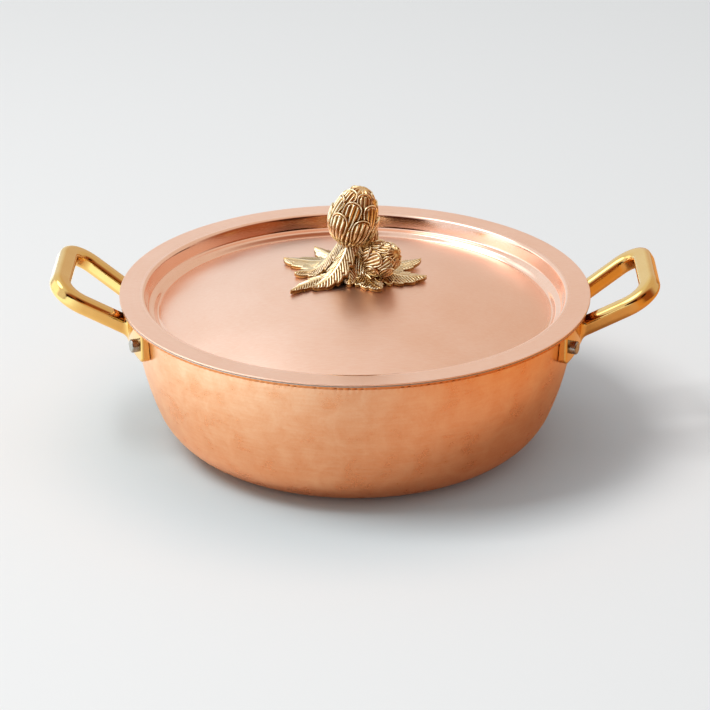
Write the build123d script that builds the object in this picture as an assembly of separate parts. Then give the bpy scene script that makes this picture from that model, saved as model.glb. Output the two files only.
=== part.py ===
from build123d import *
import math
import os

# Covered copper braising pot: a hammered round-sided bowl with a tin lining, two cast brass loop
# handles riveted to its sides, and a sunk, domed lid with a cast artichoke knob.
# Millimetres. Z is up, the origin is the centre of the flat base, and the handles lie along X.

# Bowl
bowl_radius = 131.5  # outside, at the top of the wall
bowl_height = 92.0  # base to the top of the lip
bowl_side_run = 48.5  # from the edge of the flat base out to the top of the wall
base_corner_radius = 39.0  # bend from the base into the side
bowl_sheet = 2.0
lip_width = 8.0  # how far the turned-out lip stands out from the wall
lip_bend = 1.5  # bend under the lip
lining_thickness = 0.3

# Lid
lid_overhang = 0.5  # past the lip of the bowl
lid_sheet = 1.2
lid_lining_thickness = 0.3
lid_play = 4.0  # between the lining of the bowl and the wall of the lid
lid_wall_run = 2.4  # the wall leans in by this from the flange to the ledge
lid_ledge_width = 3.2
lid_nose_run = 2.2  # from the ledge in to the edge of the domed panel
lid_ledge_depth = 8.8  # below the flange
lid_ledge_fall = 1.0
lid_trough_depth = 12.6
lid_dome_rise = 10.0  # crown of the panel above the flange
lid_dome_share = 0.97  # of the panel's curve, before the straight run into the wall
lid_root_bend = 0.8  # hollow bends of the stepped wall
lid_nose_bend = 1.8  # round bend at the ledge's inner edge
lid_lip_bend = 2.0  # bend of the flange into the wall

# Handles
handle_drop = 11.8  # from the top of the lip to the middle of the legs at the plate
handle_plate_thickness = 4.6
handle_plate_above = 8.4  # over the middle of the legs
handle_plate_below = 10.7
handle_plate_margin_angle = 3.0  # degrees of plate past each rivet
handle_plate_corner = 3.0
handle_plate_edge = 0.8
handle_tilt_angle = 33.2  # degrees above level
handle_reach = 50.0  # along the slope, from the plate's outer face
handle_root_run = 11.5  # how far the legs are drawn on into the wall before they are cut to it
handle_thickness = 10.6
handle_edge = 3.4
handle_leg_width = 10.2
handle_grip_width = 11.5
handle_root_half_width = 29.2  # outside of the legs at the plate
handle_grip_half_width = 42.7  # outside of the legs at the grip
handle_outer_corner = 23.7
handle_inner_corner = 10.9
handle_seat_gap = 0.1

# Rivets
rivet_angle = 22.3  # degrees either side of the handle's middle
rivet_drop = 1.8  # below the middle of the legs
rivet_shank_radius = 2.5
rivet_hole_clearance = 0.05
rivet_head_radius = 3.9
rivet_head_height = 4.2
rivet_head_edge = 0.9
rivet_inner_radius = 5.0
rivet_inner_height = 1.8
rivet_seat_gap = 0.02

# Leaves of the knob, one value for each leaf
leaf_turn_angles = (153, 216, 237, 281, -12, 20, 70, 121)  # degrees from +X
leaf_lengths = (49.5, 46.8, 34.0, 30.5, 42.5, 42.5, 38.0, 46.0)
leaf_widths = (24.0, 13.0, 21.0, 21.0, 17.0, 16.0, 17.0, 16.0)
leaf_tooth_counts = (5, 5, 4, 4, 6, 5, 4, 5)  # teeth on each side
leaf_thickness = 2.6
leaf_rib_height = 1.3
leaf_rib_width = 2.4
leaf_rib_start = 2.0  # from the middle of the knob
leaf_rib_end = 6.0  # short of the tip
leaf_tooth_share = 0.16  # of a tooth's pitch that its steep side takes
leaf_notch_share = 0.74  # width left at the bottom of a notch
leaf_shoulder_share = 0.16  # where the widest part starts
leaf_fullness_share = 0.75  # lower makes the leaf blunter
leaf_root_share = 0.2  # half width at the root, as a share of the width

# Foot and stem of the knob
knob_seat_gap = 0.05
boss_radius = 13.0
boss_top_radius = 9.1
boss_height = 5.5
boss_root = 2.0  # how far it is drawn on below the crown before it is cut to the lid
stem_low_radius = 10.5
stem_high_radius = 5.6
stem_foot = (-2.0, -0.5)  # centre of the stem on the boss
stem_seat_gap = 0.05

# Tall artichoke
head_neck = (-4.9, 0.0, 19.5)  # above the crown of the lid
head_length = 35.1
head_radius = 15.3
head_lean_angle = 15.5  # degrees towards +X
head_seat_gap = 0.1

# Artichoke buds
bud_length = 23.0
bud_radius = 10.9
bud_stalk_radius = 2.8
bud_stalk_clearance = 0.05
front_bud_seat = (9.3, -6.0, 8.9)  # the neck end, above the crown of the lid
front_bud_angles = (62.0, -40.0)  # degrees from upright, and the way it leans from +X
front_bud_stalk = 5.0  # length let into the stem
rear_bud_seat = (3.4, 14.0, 8.6)
rear_bud_angles = (50.0, 90.0)
rear_bud_stalk = 8.0

# Bracts of the artichokes, one value for each row from the neck up
bract_foot_shares = (0.03, 0.20, 0.38, 0.54, 0.70)  # of the length
bract_tip_shares = (0.47, 0.60, 0.75, 0.87, 0.975)
bract_counts = (6, 5, 5, 5, 4)
bract_turn_angles = (-75.5, -56.0, -93.6, -54.0, -90.0)  # of one bract in the row, from the side of +X
bract_lift = 1.3  # how far the tips of the bracts stand off the core
bract_lip = 0.8  # how far their feet are sunk in it
bract_root_share = 0.4  # depth of a row's root, as a share of the core's radius
bract_back_share = 0.7  # height of that root, as a share of the row's height
bract_notch_over = 0.5  # the gap between two tips is cut on past them by this
bract_notch_slope_share = 1.3  # depth of the gap, as a multiple of half its width
bract_notch_limit_share = 0.6  # and at most this share of the row's height
bract_round_shares = (0.28, 0.62)  # fullness of a tip: of the gap's half width and of its depth
core_neck_share = 0.02  # how open the core is at the neck
core_fullness_share = 0.72  # lower puts its widest part nearer the neck

# Screw and washer under the lid
screw_radius = 2.5
screw_length = 12.0
screw_head_radius = 5.0
screw_head_height = 3.0
screw_head_edge = 1.0
screw_slot_width = 1.2
screw_slot_depth = 1.2
screw_clearance = 0.05
washer_radius = 8.5
washer_thickness = 1.2
washer_gap = 0.15

# Worked out from the sizes above
base_flat_radius = bowl_radius - bowl_side_run
lip_radius = bowl_radius + lip_width
lip_underside = bowl_height - bowl_sheet
wall_top = lip_underside - lip_bend
wall_rise = wall_top - base_corner_radius
bowl_side_radius = (bowl_side_run**2 + wall_rise**2 - base_corner_radius**2) / (
    2 * (bowl_side_run - base_corner_radius)
)
lining_inner_radius = bowl_radius - bowl_sheet - lining_thickness
lid_radius = lip_radius + lid_overhang
lid_flange_inner_radius = lining_inner_radius - lid_play
lid_ledge_outer_radius = lid_flange_inner_radius - lid_wall_run
lid_ledge_inner_radius = lid_ledge_outer_radius - lid_ledge_width
lid_panel_radius = lid_ledge_inner_radius - lid_nose_run
lid_top = bowl_height + lid_lining_thickness + lid_sheet
crown_height = lid_top + lid_dome_rise
crown_underside = crown_height - lid_sheet - lid_lining_thickness
panel_drop = lid_dome_rise + lid_trough_depth
dome_radius = (lid_panel_radius**2 + panel_drop**2) / (2 * panel_drop)
dome_centre_height = crown_height - dome_radius
plate_outer_radius = bowl_radius + handle_seat_gap + handle_plate_thickness
plate_half_angle = rivet_angle + handle_plate_margin_angle
handle_root_height = bowl_height - handle_drop
rivet_height = handle_root_height - rivet_drop
head_neck_height = crown_height + head_neck[2]
screw_seat_height = crown_underside - washer_gap - washer_thickness


def revolved(face):
    """A face in the XZ plane, turned once round the Z axis."""
    return revolve(face, axis=Axis.Z)


def joined(curves):
    return Wire([edge for curve in curves for edge in curve.edges()])


def beside(edge, share, distance):
    """The point a distance to the left of an edge, at a share of its length."""
    along = edge % share
    return edge @ share + Vector(-along.Y, along.X) * distance


def parallel(line, distance):
    """The run of lines and arcs that lies a distance to the left of a smooth run of them."""
    pieces = []
    for edge in line.order_edges():
        start, middle, end = [beside(edge, share, distance) for share in (0, 0.5, 1)]
        straight = edge.geom_type == GeomType.LINE
        pieces.append(Line(start, end) if straight else ThreePointArc(start, middle, end))
    return pieces


def sheet(line, near, far):
    """Sheet metal turned round the Z axis: what lies between two parallels of a smooth line."""
    one, other = parallel(line, near), parallel(line, far)
    ends = [Line(one[0] @ 0, other[0] @ 0), Line(one[-1] @ 1, other[-1] @ 1)]
    return revolved(Plane.XZ * Face(joined(one + other + ends)))


def wall_line():
    """The outside of the bowl from the middle of its base to the top of its wall, as X and Z."""
    centre = bowl_radius - bowl_side_radius
    turn = math.atan2(wall_top - base_corner_radius, base_flat_radius - centre)
    meet = (centre + bowl_side_radius * math.cos(turn), wall_top - bowl_side_radius * math.sin(turn))
    base = Line((0, 0), (base_flat_radius, 0))
    corner = TangentArc(base @ 1, meet, tangent=(1, 0))
    side = TangentArc(corner @ 1, (bowl_radius, wall_top), tangent=corner % 1)
    return [base, corner, side]


def lip_line():
    """The bend at the top of the wall and the underside of the lip."""
    bend = TangentArc((bowl_radius, wall_top), (bowl_radius + lip_bend, lip_underside), tangent=(0, 1))
    return [bend, Line(bend @ 1, (lip_radius, lip_underside))]


def make_bowl():
    return sheet(joined(wall_line() + lip_line()), 0, bowl_sheet)


def make_bowl_lining():
    return sheet(joined(wall_line()), bowl_sheet, bowl_sheet + lining_thickness)


def bowl_envelope(gap):
    """The solid that the outside of the bowl would fill, grown by a gap. Handles are cut to it."""
    grown = parallel(joined(wall_line() + lip_line()), -gap)
    start, end = grown[0] @ 0, grown[-1] @ 1
    close = Polyline(end, (end.X, bowl_height), (0, bowl_height), start)
    return revolved(Plane.XZ * Face(joined(grown + [close])))


def lid_line():
    """The top of the lid from its crown to its rim, as X and Z."""
    corner = Vector(lid_panel_radius, lid_top - lid_trough_depth)
    dome = RadiusArc((0, crown_height), corner, dome_radius).trim(0, lid_dome_share)
    wall = FilletPolyline(
        dome @ 1,
        dome @ 1 + (dome % 1) * (corner - dome @ 1).length,
        (lid_ledge_inner_radius, lid_top - lid_ledge_depth - lid_ledge_fall),
        (lid_ledge_outer_radius, lid_top - lid_ledge_depth),
        (lid_flange_inner_radius, lid_top),
        (lid_radius, lid_top),
        radius=[lid_root_bend, lid_nose_bend, lid_root_bend, lid_lip_bend],
    )
    return joined([dome, wall])


def make_lid():
    return sheet(lid_line(), 0, -lid_sheet) - centre_hole()


def make_lid_lining():
    return sheet(lid_line(), -lid_sheet, -lid_sheet - lid_lining_thickness) - centre_hole()


def standing_rod(radius, length):
    """A round rod that stands on the origin."""
    return Cylinder(radius, length, align=(Align.CENTER, Align.CENTER, Align.MIN))


def hanging_rod(radius, length):
    """A round rod that hangs from the origin."""
    return Cylinder(radius, length, align=(Align.CENTER, Align.CENTER, Align.MAX))


def centre_hole():
    """The hole for the shank of the knob's screw, from its head up into the foot of the knob."""
    bore = standing_rod(screw_radius + screw_clearance, screw_length + 2 * screw_clearance)
    return Pos(0, 0, screw_seat_height - screw_clearance) * bore


def radial(angle, height):
    """A place on the pot's axis whose own Z axis points out at an angle from +X."""
    return Pos(0, 0, height) * Rot(0, 0, angle) * Rot(0, 90, 0)


def rivet_angles(side):
    """The two rivets of the handle on the side +1 or -1, front first."""
    return (-rivet_angle, rivet_angle) if side > 0 else (180 + rivet_angle, 180 - rivet_angle)


def rivet_holes(side):
    """Bores from the pot's axis out through the wall and the plate."""
    bore = standing_rod(rivet_shank_radius + rivet_hole_clearance, plate_outer_radius + handle_plate_edge)
    return [radial(angle, rivet_height) * bore for angle in rivet_angles(side)]


def loop_outline():
    """The grip and legs seen square on: X runs up the slope from the plate, Y along the grip."""
    root = -handle_root_run
    spread = (handle_grip_half_width - handle_root_half_width) / handle_reach
    outer = Polyline(
        (root, handle_root_half_width + root * spread),
        (handle_reach, handle_grip_half_width),
        (handle_reach, -handle_grip_half_width),
        (root, -handle_root_half_width - root * spread),
        close=True,
    )
    hole_end = handle_reach - handle_grip_width
    inner_root = handle_root_half_width - handle_leg_width
    inner = Polyline(
        (2 * root, inner_root + 2 * root * spread),
        (hole_end, inner_root + hole_end * spread),
        (hole_end, -inner_root - hole_end * spread),
        (2 * root, -inner_root - 2 * root * spread),
        close=True,
    )
    outside = Face(Wire(outer.edges()))
    outside = outside.fillet_2d(handle_outer_corner, outside.vertices().group_by(Axis.X)[-1])
    inside = Face(Wire(inner.edges()))
    inside = inside.fillet_2d(handle_inner_corner, inside.vertices().group_by(Axis.X)[-1])
    return outside - inside


def make_handle(side):
    """One cast handle: a curved plate that lies on the wall, and a loop that rises from it."""
    slope = Pos(plate_outer_radius, 0, handle_root_height) * Rot(0, -handle_tilt_angle, 0)
    loop = extrude(loop_outline(), amount=handle_thickness / 2, both=True)
    loop = fillet(loop.edges().filter_by(Axis.Z, reverse=True), handle_edge)
    plate = make_handle_plate()
    handle = plate + slope * loop - bowl_envelope(handle_seat_gap)
    if side < 0:
        handle = Rot(0, 0, 180) * handle
    for hole in rivet_holes(side):
        handle -= hole
    return handle


def make_handle_plate():
    """The plate before it is cut to the wall, with round corners and a broken outer edge."""
    low = handle_root_height - handle_plate_below
    blank = Pos(bowl_radius - handle_plate_thickness, low) * Rectangle(
        plate_outer_radius - bowl_radius + handle_plate_thickness,
        handle_plate_above + handle_plate_below,
        align=Align.MIN,
    )
    section = Rot(0, 0, -plate_half_angle) * (Plane.XZ * blank)
    plate = revolve(section, axis=Axis.Z, revolution_arc=2 * plate_half_angle)
    corners = plate.edges().filter_by(GeomType.LINE).filter_by(Axis.Z, reverse=True)
    plate = fillet(corners, handle_plate_corner)
    outer_face = plate.faces().sort_by(SortBy.AREA)[-1]
    return fillet(outer_face.edges(), handle_plate_edge)


def make_rivet(angle):
    """A flat-headed rivet: its head on the plate, its shank through the wall, and a dome inside."""
    drop = wall_top - rivet_height + rivet_inner_radius
    inside = lining_inner_radius - bowl_side_radius + math.sqrt(bowl_side_radius**2 - drop**2)
    seat_inside = math.sqrt(inside**2 - rivet_inner_radius**2) - rivet_seat_gap
    seat_outside = plate_outer_radius + rivet_seat_gap
    head = standing_rod(rivet_head_radius, rivet_head_height)
    head = fillet(head.edges().sort_by(Axis.Z)[-1], rivet_head_edge)
    shank = Pos(0, 0, seat_inside) * standing_rod(rivet_shank_radius, seat_outside - seat_inside)
    dome_r = (rivet_inner_radius**2 + rivet_inner_height**2) / (2 * rivet_inner_height)
    dome = Pos(0, 0, seat_inside - rivet_inner_height + dome_r) * Sphere(dome_r)
    slab = Pos(0, 0, seat_inside) * standing_rod(2 * dome_r, 2 * dome_r)
    rivet = Pos(0, 0, seat_outside) * head + shank + (dome - slab)
    return radial(angle, rivet_height) * rivet


def leaf_face(length, width, teeth):
    """A pointed leaf along +X with saw-toothed sides."""
    upper = []
    for i in range(teeth):
        tip = (i + 0.5) / (teeth + 0.5)
        notch = tip + leaf_tooth_share / teeth
        swell = min(1.0, leaf_shoulder_share + (1 - leaf_shoulder_share) * tip)
        spread = width / 2 * math.sin(math.pi * swell) ** leaf_fullness_share
        upper.append((length * tip, spread))
        upper.append((length * notch, leaf_notch_share * spread))
    lower = [(x, -y) for x, y in reversed(upper)]
    root = leaf_root_share * width
    points = [(0, root)] + upper + [(length, 0)] + lower + [(0, -root)]
    points.reverse()
    return Face(Wire(Polyline(*points, close=True).edges()))


def leaf_rib(length):
    run = length - leaf_rib_start - leaf_rib_end
    return Pos(leaf_rib_start + run / 2, 0) * Rectangle(run, leaf_rib_width)


def make_knob_leaves():
    """The leaves that lie on the crown of the lid, with the boss that the stem stands on."""
    centre = Pos(0, 0, dome_centre_height)
    seat = dome_radius + knob_seat_gap
    blade_top = seat + leaf_thickness
    rib_top = blade_top + leaf_rib_height
    blades, ribs = [], []
    for turn, length, width, teeth in zip(leaf_turn_angles, leaf_lengths, leaf_widths, leaf_tooth_counts):
        place = centre * Rot(0, 0, turn)
        blades.append(place * extrude(leaf_face(length, width, teeth), rib_top))
        ribs.append(place * extrude(leaf_rib(length), rib_top))
    leaves = blades[0].fuse(*blades[1:]) & (centre * Sphere(blade_top))
    veins = ribs[0].fuse(*ribs[1:]) & (centre * Sphere(rib_top))
    boss = Pos(0, 0, crown_height - boss_root) * Cone(
        boss_radius, boss_top_radius, boss_height + boss_root,
        align=(Align.CENTER, Align.CENTER, Align.MIN),
    )
    return (leaves + veins + boss) - [centre * Sphere(seat), centre_hole(), *stalk_holes()]


def make_knob_stem():
    """The short stem between the boss and the neck of the tall artichoke."""
    foot = Plane((stem_foot[0], stem_foot[1], crown_height + boss_height + stem_seat_gap))
    lean = math.radians(head_lean_angle)
    top = Plane(
        (head_neck[0], head_neck[1], head_neck_height),
        x_dir=(math.cos(lean), 0, -math.sin(lean)),
        z_dir=(math.sin(lean), 0, math.cos(lean)),
    )
    stem = loft([foot * Circle(stem_low_radius), top * Circle(stem_high_radius)])
    return stem - [centre_hole(), *stalk_holes()]


def core_radius(share, radius):
    """Radius of an artichoke under its bracts, by the share of its length above the neck."""
    phase = core_neck_share + (1 - core_neck_share) * share
    return radius * math.sqrt(math.sin(math.pi * phase**core_fullness_share))


def artichoke_core(length, radius):
    """The body under the bracts, along +Z from the middle of its neck."""
    shares = [0, 0.12, 0.3, 0.5, 0.7, 0.86, 0.96]
    points = [(core_radius(share, radius), share * length) for share in shares] + [(0, length)]
    side = Spline(*points, tangents=[(1, 1), (-1, 0)])
    rim = Polyline(points[-1], (0, 0), points[0])
    return revolved(Plane.XZ * Face(joined([side, rim])))


def bract_collar(foot, tip, length, radius):
    """A ring that swells out of the core and ends in a lip. One row of bracts is cut from it."""
    middle = (foot + tip) / 2
    low = (core_radius(foot, radius) - bract_lip, foot * length)
    swell = (core_radius(middle, radius) + bract_lift, middle * length)
    lip = (core_radius(tip, radius) + bract_lift, tip * length)
    root = (core_radius(tip, radius) * bract_root_share, (foot + bract_back_share * (tip - foot)) * length)
    low_root = (root[0], foot * length)
    outer = ThreePointArc(low, swell, lip)
    rest = Polyline(lip, root, low_root, low)
    return revolved(Plane.XZ * Face(joined([outer, rest])))


def bract_notch(foot, tip, count, length, radius):
    """The gap between the round tips of two bracts, as a bar that points along +X."""
    reach = core_radius(tip, radius) + bract_lift
    half = reach * math.tan(math.pi / count)
    top = tip * length + bract_notch_over
    depth = min(bract_notch_slope_share * half, bract_notch_limit_share * (tip - foot) * length)
    low = top - depth
    side, rise = bract_round_shares[0] * half, low + bract_round_shares[1] * depth
    right = ThreePointArc((0, low), (side, rise), (half, top))
    left = ThreePointArc((-half, top), (-side, rise), (0, low))
    face = Face(joined([right, Line((half, top), (-half, top)), left]))
    return extrude(Plane.YZ * face, 3 * radius)


def make_artichoke(length, outer_radius):
    """An artichoke along +Z from its neck: a core with rows of overlapping bracts."""
    radius = outer_radius - bract_lift
    whole = artichoke_core(length, radius)
    rows = zip(bract_foot_shares, bract_tip_shares, bract_counts, bract_turn_angles)
    for foot, tip, count, turn in rows:
        notch = bract_notch(foot, tip, count, length, radius)
        notches = [Rot(0, 0, turn + 360 / count * (i + 0.5)) * notch for i in range(count)]
        whole += bract_collar(foot, tip, length, radius) - notches
    return whole


def make_head():
    place = Pos(head_neck[0], head_neck[1], head_neck_height + head_seat_gap) * Rot(0, head_lean_angle, 0)
    return place * make_artichoke(head_length, head_radius)


def bud_place(seat, angles):
    """Where the middle of a bud's neck sits above the crown, and the way the bud leans."""
    tilt, heading = angles
    return Pos(seat[0], seat[1], crown_height + seat[2]) * Rot(0, 0, heading) * Rot(0, tilt, 0)


def make_bud(bud, seat, angles, stalk_length):
    return bud_place(seat, angles) * (bud + hanging_rod(bud_stalk_radius, stalk_length))


def stalk_holes():
    """The holes in the foot of the knob that the stalks of the two buds are let into."""
    buds = [
        (front_bud_seat, front_bud_angles, front_bud_stalk),
        (rear_bud_seat, rear_bud_angles, rear_bud_stalk),
    ]
    holes = []
    for seat, angles, length in buds:
        hole = hanging_rod(bud_stalk_radius + bud_stalk_clearance, length + bud_stalk_clearance)
        holes.append(bud_place(seat, angles) * hole)
    return holes


def make_washer():
    ring = hanging_rod(washer_radius, washer_thickness)
    return Pos(0, 0, crown_underside - washer_gap) * ring - centre_hole()


def make_screw():
    """The slotted screw that holds the knob from under the lid."""
    head = hanging_rod(screw_head_radius, screw_head_height)
    head = fillet(head.edges().sort_by(Axis.Z)[0], screw_head_edge)
    slot = Pos(0, 0, -screw_head_height) * Box(3 * screw_head_radius, screw_slot_width, 2 * screw_slot_depth)
    shank = standing_rod(screw_radius, screw_length)
    return Pos(0, 0, screw_seat_height) * ((head - slot) + shank)


def main():
    os.makedirs("parts", exist_ok=True)
    bowl, lining = make_bowl(), make_bowl_lining()
    for hole in rivet_holes(1) + rivet_holes(-1):
        bowl -= hole
        lining -= hole
    bud = make_artichoke(bud_length, bud_radius)
    right_front, right_rear = rivet_angles(1)
    left_front, left_rear = rivet_angles(-1)
    pieces = {
        "pot_bowl": bowl,
        "pot_lining": lining,
        "right_handle": make_handle(1),
        "left_handle": make_handle(-1),
        "right_front_rivet": make_rivet(right_front),
        "right_rear_rivet": make_rivet(right_rear),
        "left_front_rivet": make_rivet(left_front),
        "left_rear_rivet": make_rivet(left_rear),
        "lid_shell": make_lid(),
        "lid_lining": make_lid_lining(),
        "knob_leaves": make_knob_leaves(),
        "knob_stem": make_knob_stem(),
        "artichoke_head": make_head(),
        "artichoke_bud_front": make_bud(bud, front_bud_seat, front_bud_angles, front_bud_stalk),
        "artichoke_bud_rear": make_bud(bud, rear_bud_seat, rear_bud_angles, rear_bud_stalk),
        "knob_washer": make_washer(),
        "knob_screw": make_screw(),
    }
    for name, shape in pieces.items():
        export_step(shape, f"parts/{name}.step")


main()
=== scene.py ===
import math

import bpy
import numpy as np
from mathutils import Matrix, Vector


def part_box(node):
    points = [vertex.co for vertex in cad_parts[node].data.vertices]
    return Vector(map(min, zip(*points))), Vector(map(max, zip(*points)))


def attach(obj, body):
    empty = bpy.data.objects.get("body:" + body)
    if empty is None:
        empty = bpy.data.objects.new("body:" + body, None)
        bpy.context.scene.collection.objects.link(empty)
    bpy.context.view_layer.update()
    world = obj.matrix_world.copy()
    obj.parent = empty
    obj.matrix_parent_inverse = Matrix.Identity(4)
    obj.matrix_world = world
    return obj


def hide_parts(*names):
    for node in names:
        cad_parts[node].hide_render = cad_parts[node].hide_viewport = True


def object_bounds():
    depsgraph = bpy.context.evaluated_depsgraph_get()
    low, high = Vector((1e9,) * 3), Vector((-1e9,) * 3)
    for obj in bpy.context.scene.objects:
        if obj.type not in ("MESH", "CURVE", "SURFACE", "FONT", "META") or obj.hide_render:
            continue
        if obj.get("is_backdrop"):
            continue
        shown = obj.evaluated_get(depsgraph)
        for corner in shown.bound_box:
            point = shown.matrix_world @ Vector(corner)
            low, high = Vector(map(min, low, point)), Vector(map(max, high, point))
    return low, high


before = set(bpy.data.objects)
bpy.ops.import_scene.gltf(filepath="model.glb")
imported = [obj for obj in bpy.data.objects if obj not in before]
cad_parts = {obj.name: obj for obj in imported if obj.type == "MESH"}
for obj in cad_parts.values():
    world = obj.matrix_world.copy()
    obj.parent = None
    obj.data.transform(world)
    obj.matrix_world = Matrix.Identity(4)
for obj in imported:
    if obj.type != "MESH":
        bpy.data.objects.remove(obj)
cad_low, cad_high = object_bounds()

# Table top
# A wide pale matt table top, which fills the view to its upper edge. The metals mirror it in other
# colours than the eye sees it: painted reflections of the window, the room and the copper.
# Lengths are millimetres until they go into a mesh or a node.
mm = 0.001
floor_half_width = 9000
floor_white = "#E9E9E8"
# A bluer white, painted on the table near the pot against the red light that the copper throws on it.
cool_against_copper_light = "#D0E0E6"
cooler_from = 220  # from the middle of the pot
cooler_to = 100
painted_window_reflection = "#EDFAFF"
painted_middle_reflection = "#DDD1C6"
painted_room_reflection = "#EFAB63"
painted_copper_glow = "#FAE7D4"
window_side_brightness = 1.55
window_to_room = 320  # from the middle out to where each side has its full colour
glow_from = 360
glow_to = 120


def shade(hex_code, brightness=1.0):
    """A colour from its sRGB hex value, as linear red, green, blue and alpha."""
    parts = [int(hex_code[i : i + 2], 16) / 255 for i in (1, 3, 5)]
    linear = [c / 12.92 if c <= 0.04045 else ((c + 0.055) / 1.055) ** 2.4 for c in parts]
    return (*[c * brightness for c in linear], 1.0)


def add_node(tree, kind, inputs=None, **settings):
    """Adds a node, sets what it is told, and sets its inputs or links them to a socket or a node."""
    made = tree.nodes.new(kind)
    for name, value in settings.items():
        setattr(made, name, value)
    for name, value in (inputs or {}).items():
        if isinstance(value, bpy.types.Node):
            value = next(socket for socket in value.outputs if socket.enabled)
        if isinstance(value, bpy.types.NodeSocket):
            tree.links.new(value, made.inputs[name])
        else:
            made.inputs[name].default_value = value
    return made


def new_material(name):
    """An empty node material, its node tree and the place on the object that is shaded, in metres."""
    material = bpy.data.materials.new(name)
    material.use_nodes = True
    tree = material.node_tree
    tree.nodes.clear()
    return material, tree, add_node(tree, "ShaderNodeTexCoord").outputs["Object"]


def add_mesh(name, points, faces, material):
    """A smooth object from points in millimetres and quads or triangles, turned to face outwards."""
    corners = points[faces]
    if faces.shape[1] == 4:
        halves = np.concatenate([corners[:, [0, 1, 2]], corners[:, [0, 2, 3]]])
    else:
        halves = corners
    volume = np.einsum("ij,ij->i", halves[:, 0], np.cross(halves[:, 1], halves[:, 2])).sum()
    if volume < 0:
        faces = faces[:, ::-1]
    mesh = bpy.data.meshes.new(name)
    rows = [tuple(dict.fromkeys(row)) for row in faces.tolist()]
    mesh.from_pydata((points * mm).tolist(), [], rows)
    mesh.polygons.foreach_set("use_smooth", [True] * len(mesh.polygons))
    mesh.materials.append(material)
    piece = bpy.data.objects.new(name, mesh)
    bpy.context.collection.objects.link(piece)
    return piece


table_top, tree, place = new_material("table_top_matt_white")
across = add_node(tree, "ShaderNodeSeparateXYZ", {0: place}).outputs[0]
away = add_node(tree, "ShaderNodeVectorMath", {0: place}, operation="LENGTH").outputs["Value"]
# Painted reflection: in the metals the table is painted a little brighter towards the window and
# warmer towards the room.
sides = add_node(
    tree, "ShaderNodeMapRange",
    {"Value": across, "From Min": -window_to_room * mm, "From Max": window_to_room * mm},
)
mirrored_top = add_node(tree, "ShaderNodeValToRGB", {"Fac": sides})
mirrored_top.color_ramp.elements[0].color = shade(painted_window_reflection, window_side_brightness)
mirrored_top.color_ramp.elements[1].color = shade(painted_room_reflection)
mirrored_top.color_ramp.elements.new(0.5).color = shade(painted_middle_reflection)
# Close to the pot the mirrored table has a painted copper glow, and the table itself is painted a
# little cooler, which makes up for the red light that the copper throws on it.
glow = add_node(
    tree, "ShaderNodeMapRange", {"Value": away, "From Min": glow_from * mm, "From Max": glow_to * mm}
)
mirrored_top = add_node(
    tree, "ShaderNodeMix", {0: glow, 6: mirrored_top, 7: shade(painted_copper_glow)},
    data_type="RGBA", blend_type="MULTIPLY",
)
# Painted colour: near the pot the table is painted cooler, against the copper's red light on it.
cooled = add_node(
    tree, "ShaderNodeMapRange", {"Value": away, "From Min": cooler_from * mm, "From Max": cooler_to * mm},
    interpolation_type="SMOOTHSTEP",
)
seen_top = add_node(
    tree, "ShaderNodeMix", {0: cooled, 6: shade(floor_white), 7: shade(cool_against_copper_light)}, data_type="RGBA"
)
in_metal = add_node(tree, "ShaderNodeLightPath").outputs["Is Glossy Ray"]
top_colour = add_node(
    tree, "ShaderNodeMix", {0: in_metal, 6: seen_top, 7: mirrored_top}, data_type="RGBA"
)
surface = add_node(tree, "ShaderNodeBsdfDiffuse", {"Color": top_colour})
add_node(tree, "ShaderNodeOutputMaterial", {"Surface": surface})
edge = floor_half_width
floor = add_mesh(
    "floor",
    np.array([(-edge, -edge, 0), (edge, -edge, 0), (edge, edge, 0), (-edge, edge, 0)], float),
    np.array([(0, 1, 2, 3)]),
    table_top,
)
floor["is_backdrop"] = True

# Tent and lamps
# The table stands in a tent of white cloth, lit from the upper left. The metals mirror a dim warm
# room on the viewer's side, with the dark lens in the middle of it and a small black flag at its
# right, a wide window at the left with a brighter pane beside it, and the lamp high at the left.
backdrop_white = "#EFEFEE"
room_light = "#F2F5F8"
room_light_strength = 0.52
tent_by_window = "#F8FDFF"
tent_by_room = "#E4D4C5"
tent_blend = 0.2
room_warm = "#9C5A34"
lens_brown = "#3C1A0C"
flag_brown = "#2A160B"
window_white = "#F7FAFF"
# The way to the middle of each, the cosines at its soft edge and where it is full, colour and brightness
mirrored_things = {
    "room": ((0.42, -0.89, -0.18), 0.10, 0.60, room_warm, 1.0),
    "lens": ((-0.27, -0.955, 0.10), 0.885, 0.945, lens_brown, 1.0),
    "flag": ((0.54, -0.74, 0.40), 0.95, 0.98, flag_brown, 1.0),
    "window": ((-0.95, -0.22, 0.17), 0.78, 0.84, window_white, 1.02),
    "side_pane": ((-0.96, 0.20, 0.06), 0.85, 0.93, window_white, 1.9),
    "lamp": ((-0.60, 0.05, 0.80), 0.91, 0.97, window_white, 4.0),
}
lamp_white = "#FFFFFF"
lit_height = 60

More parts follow.
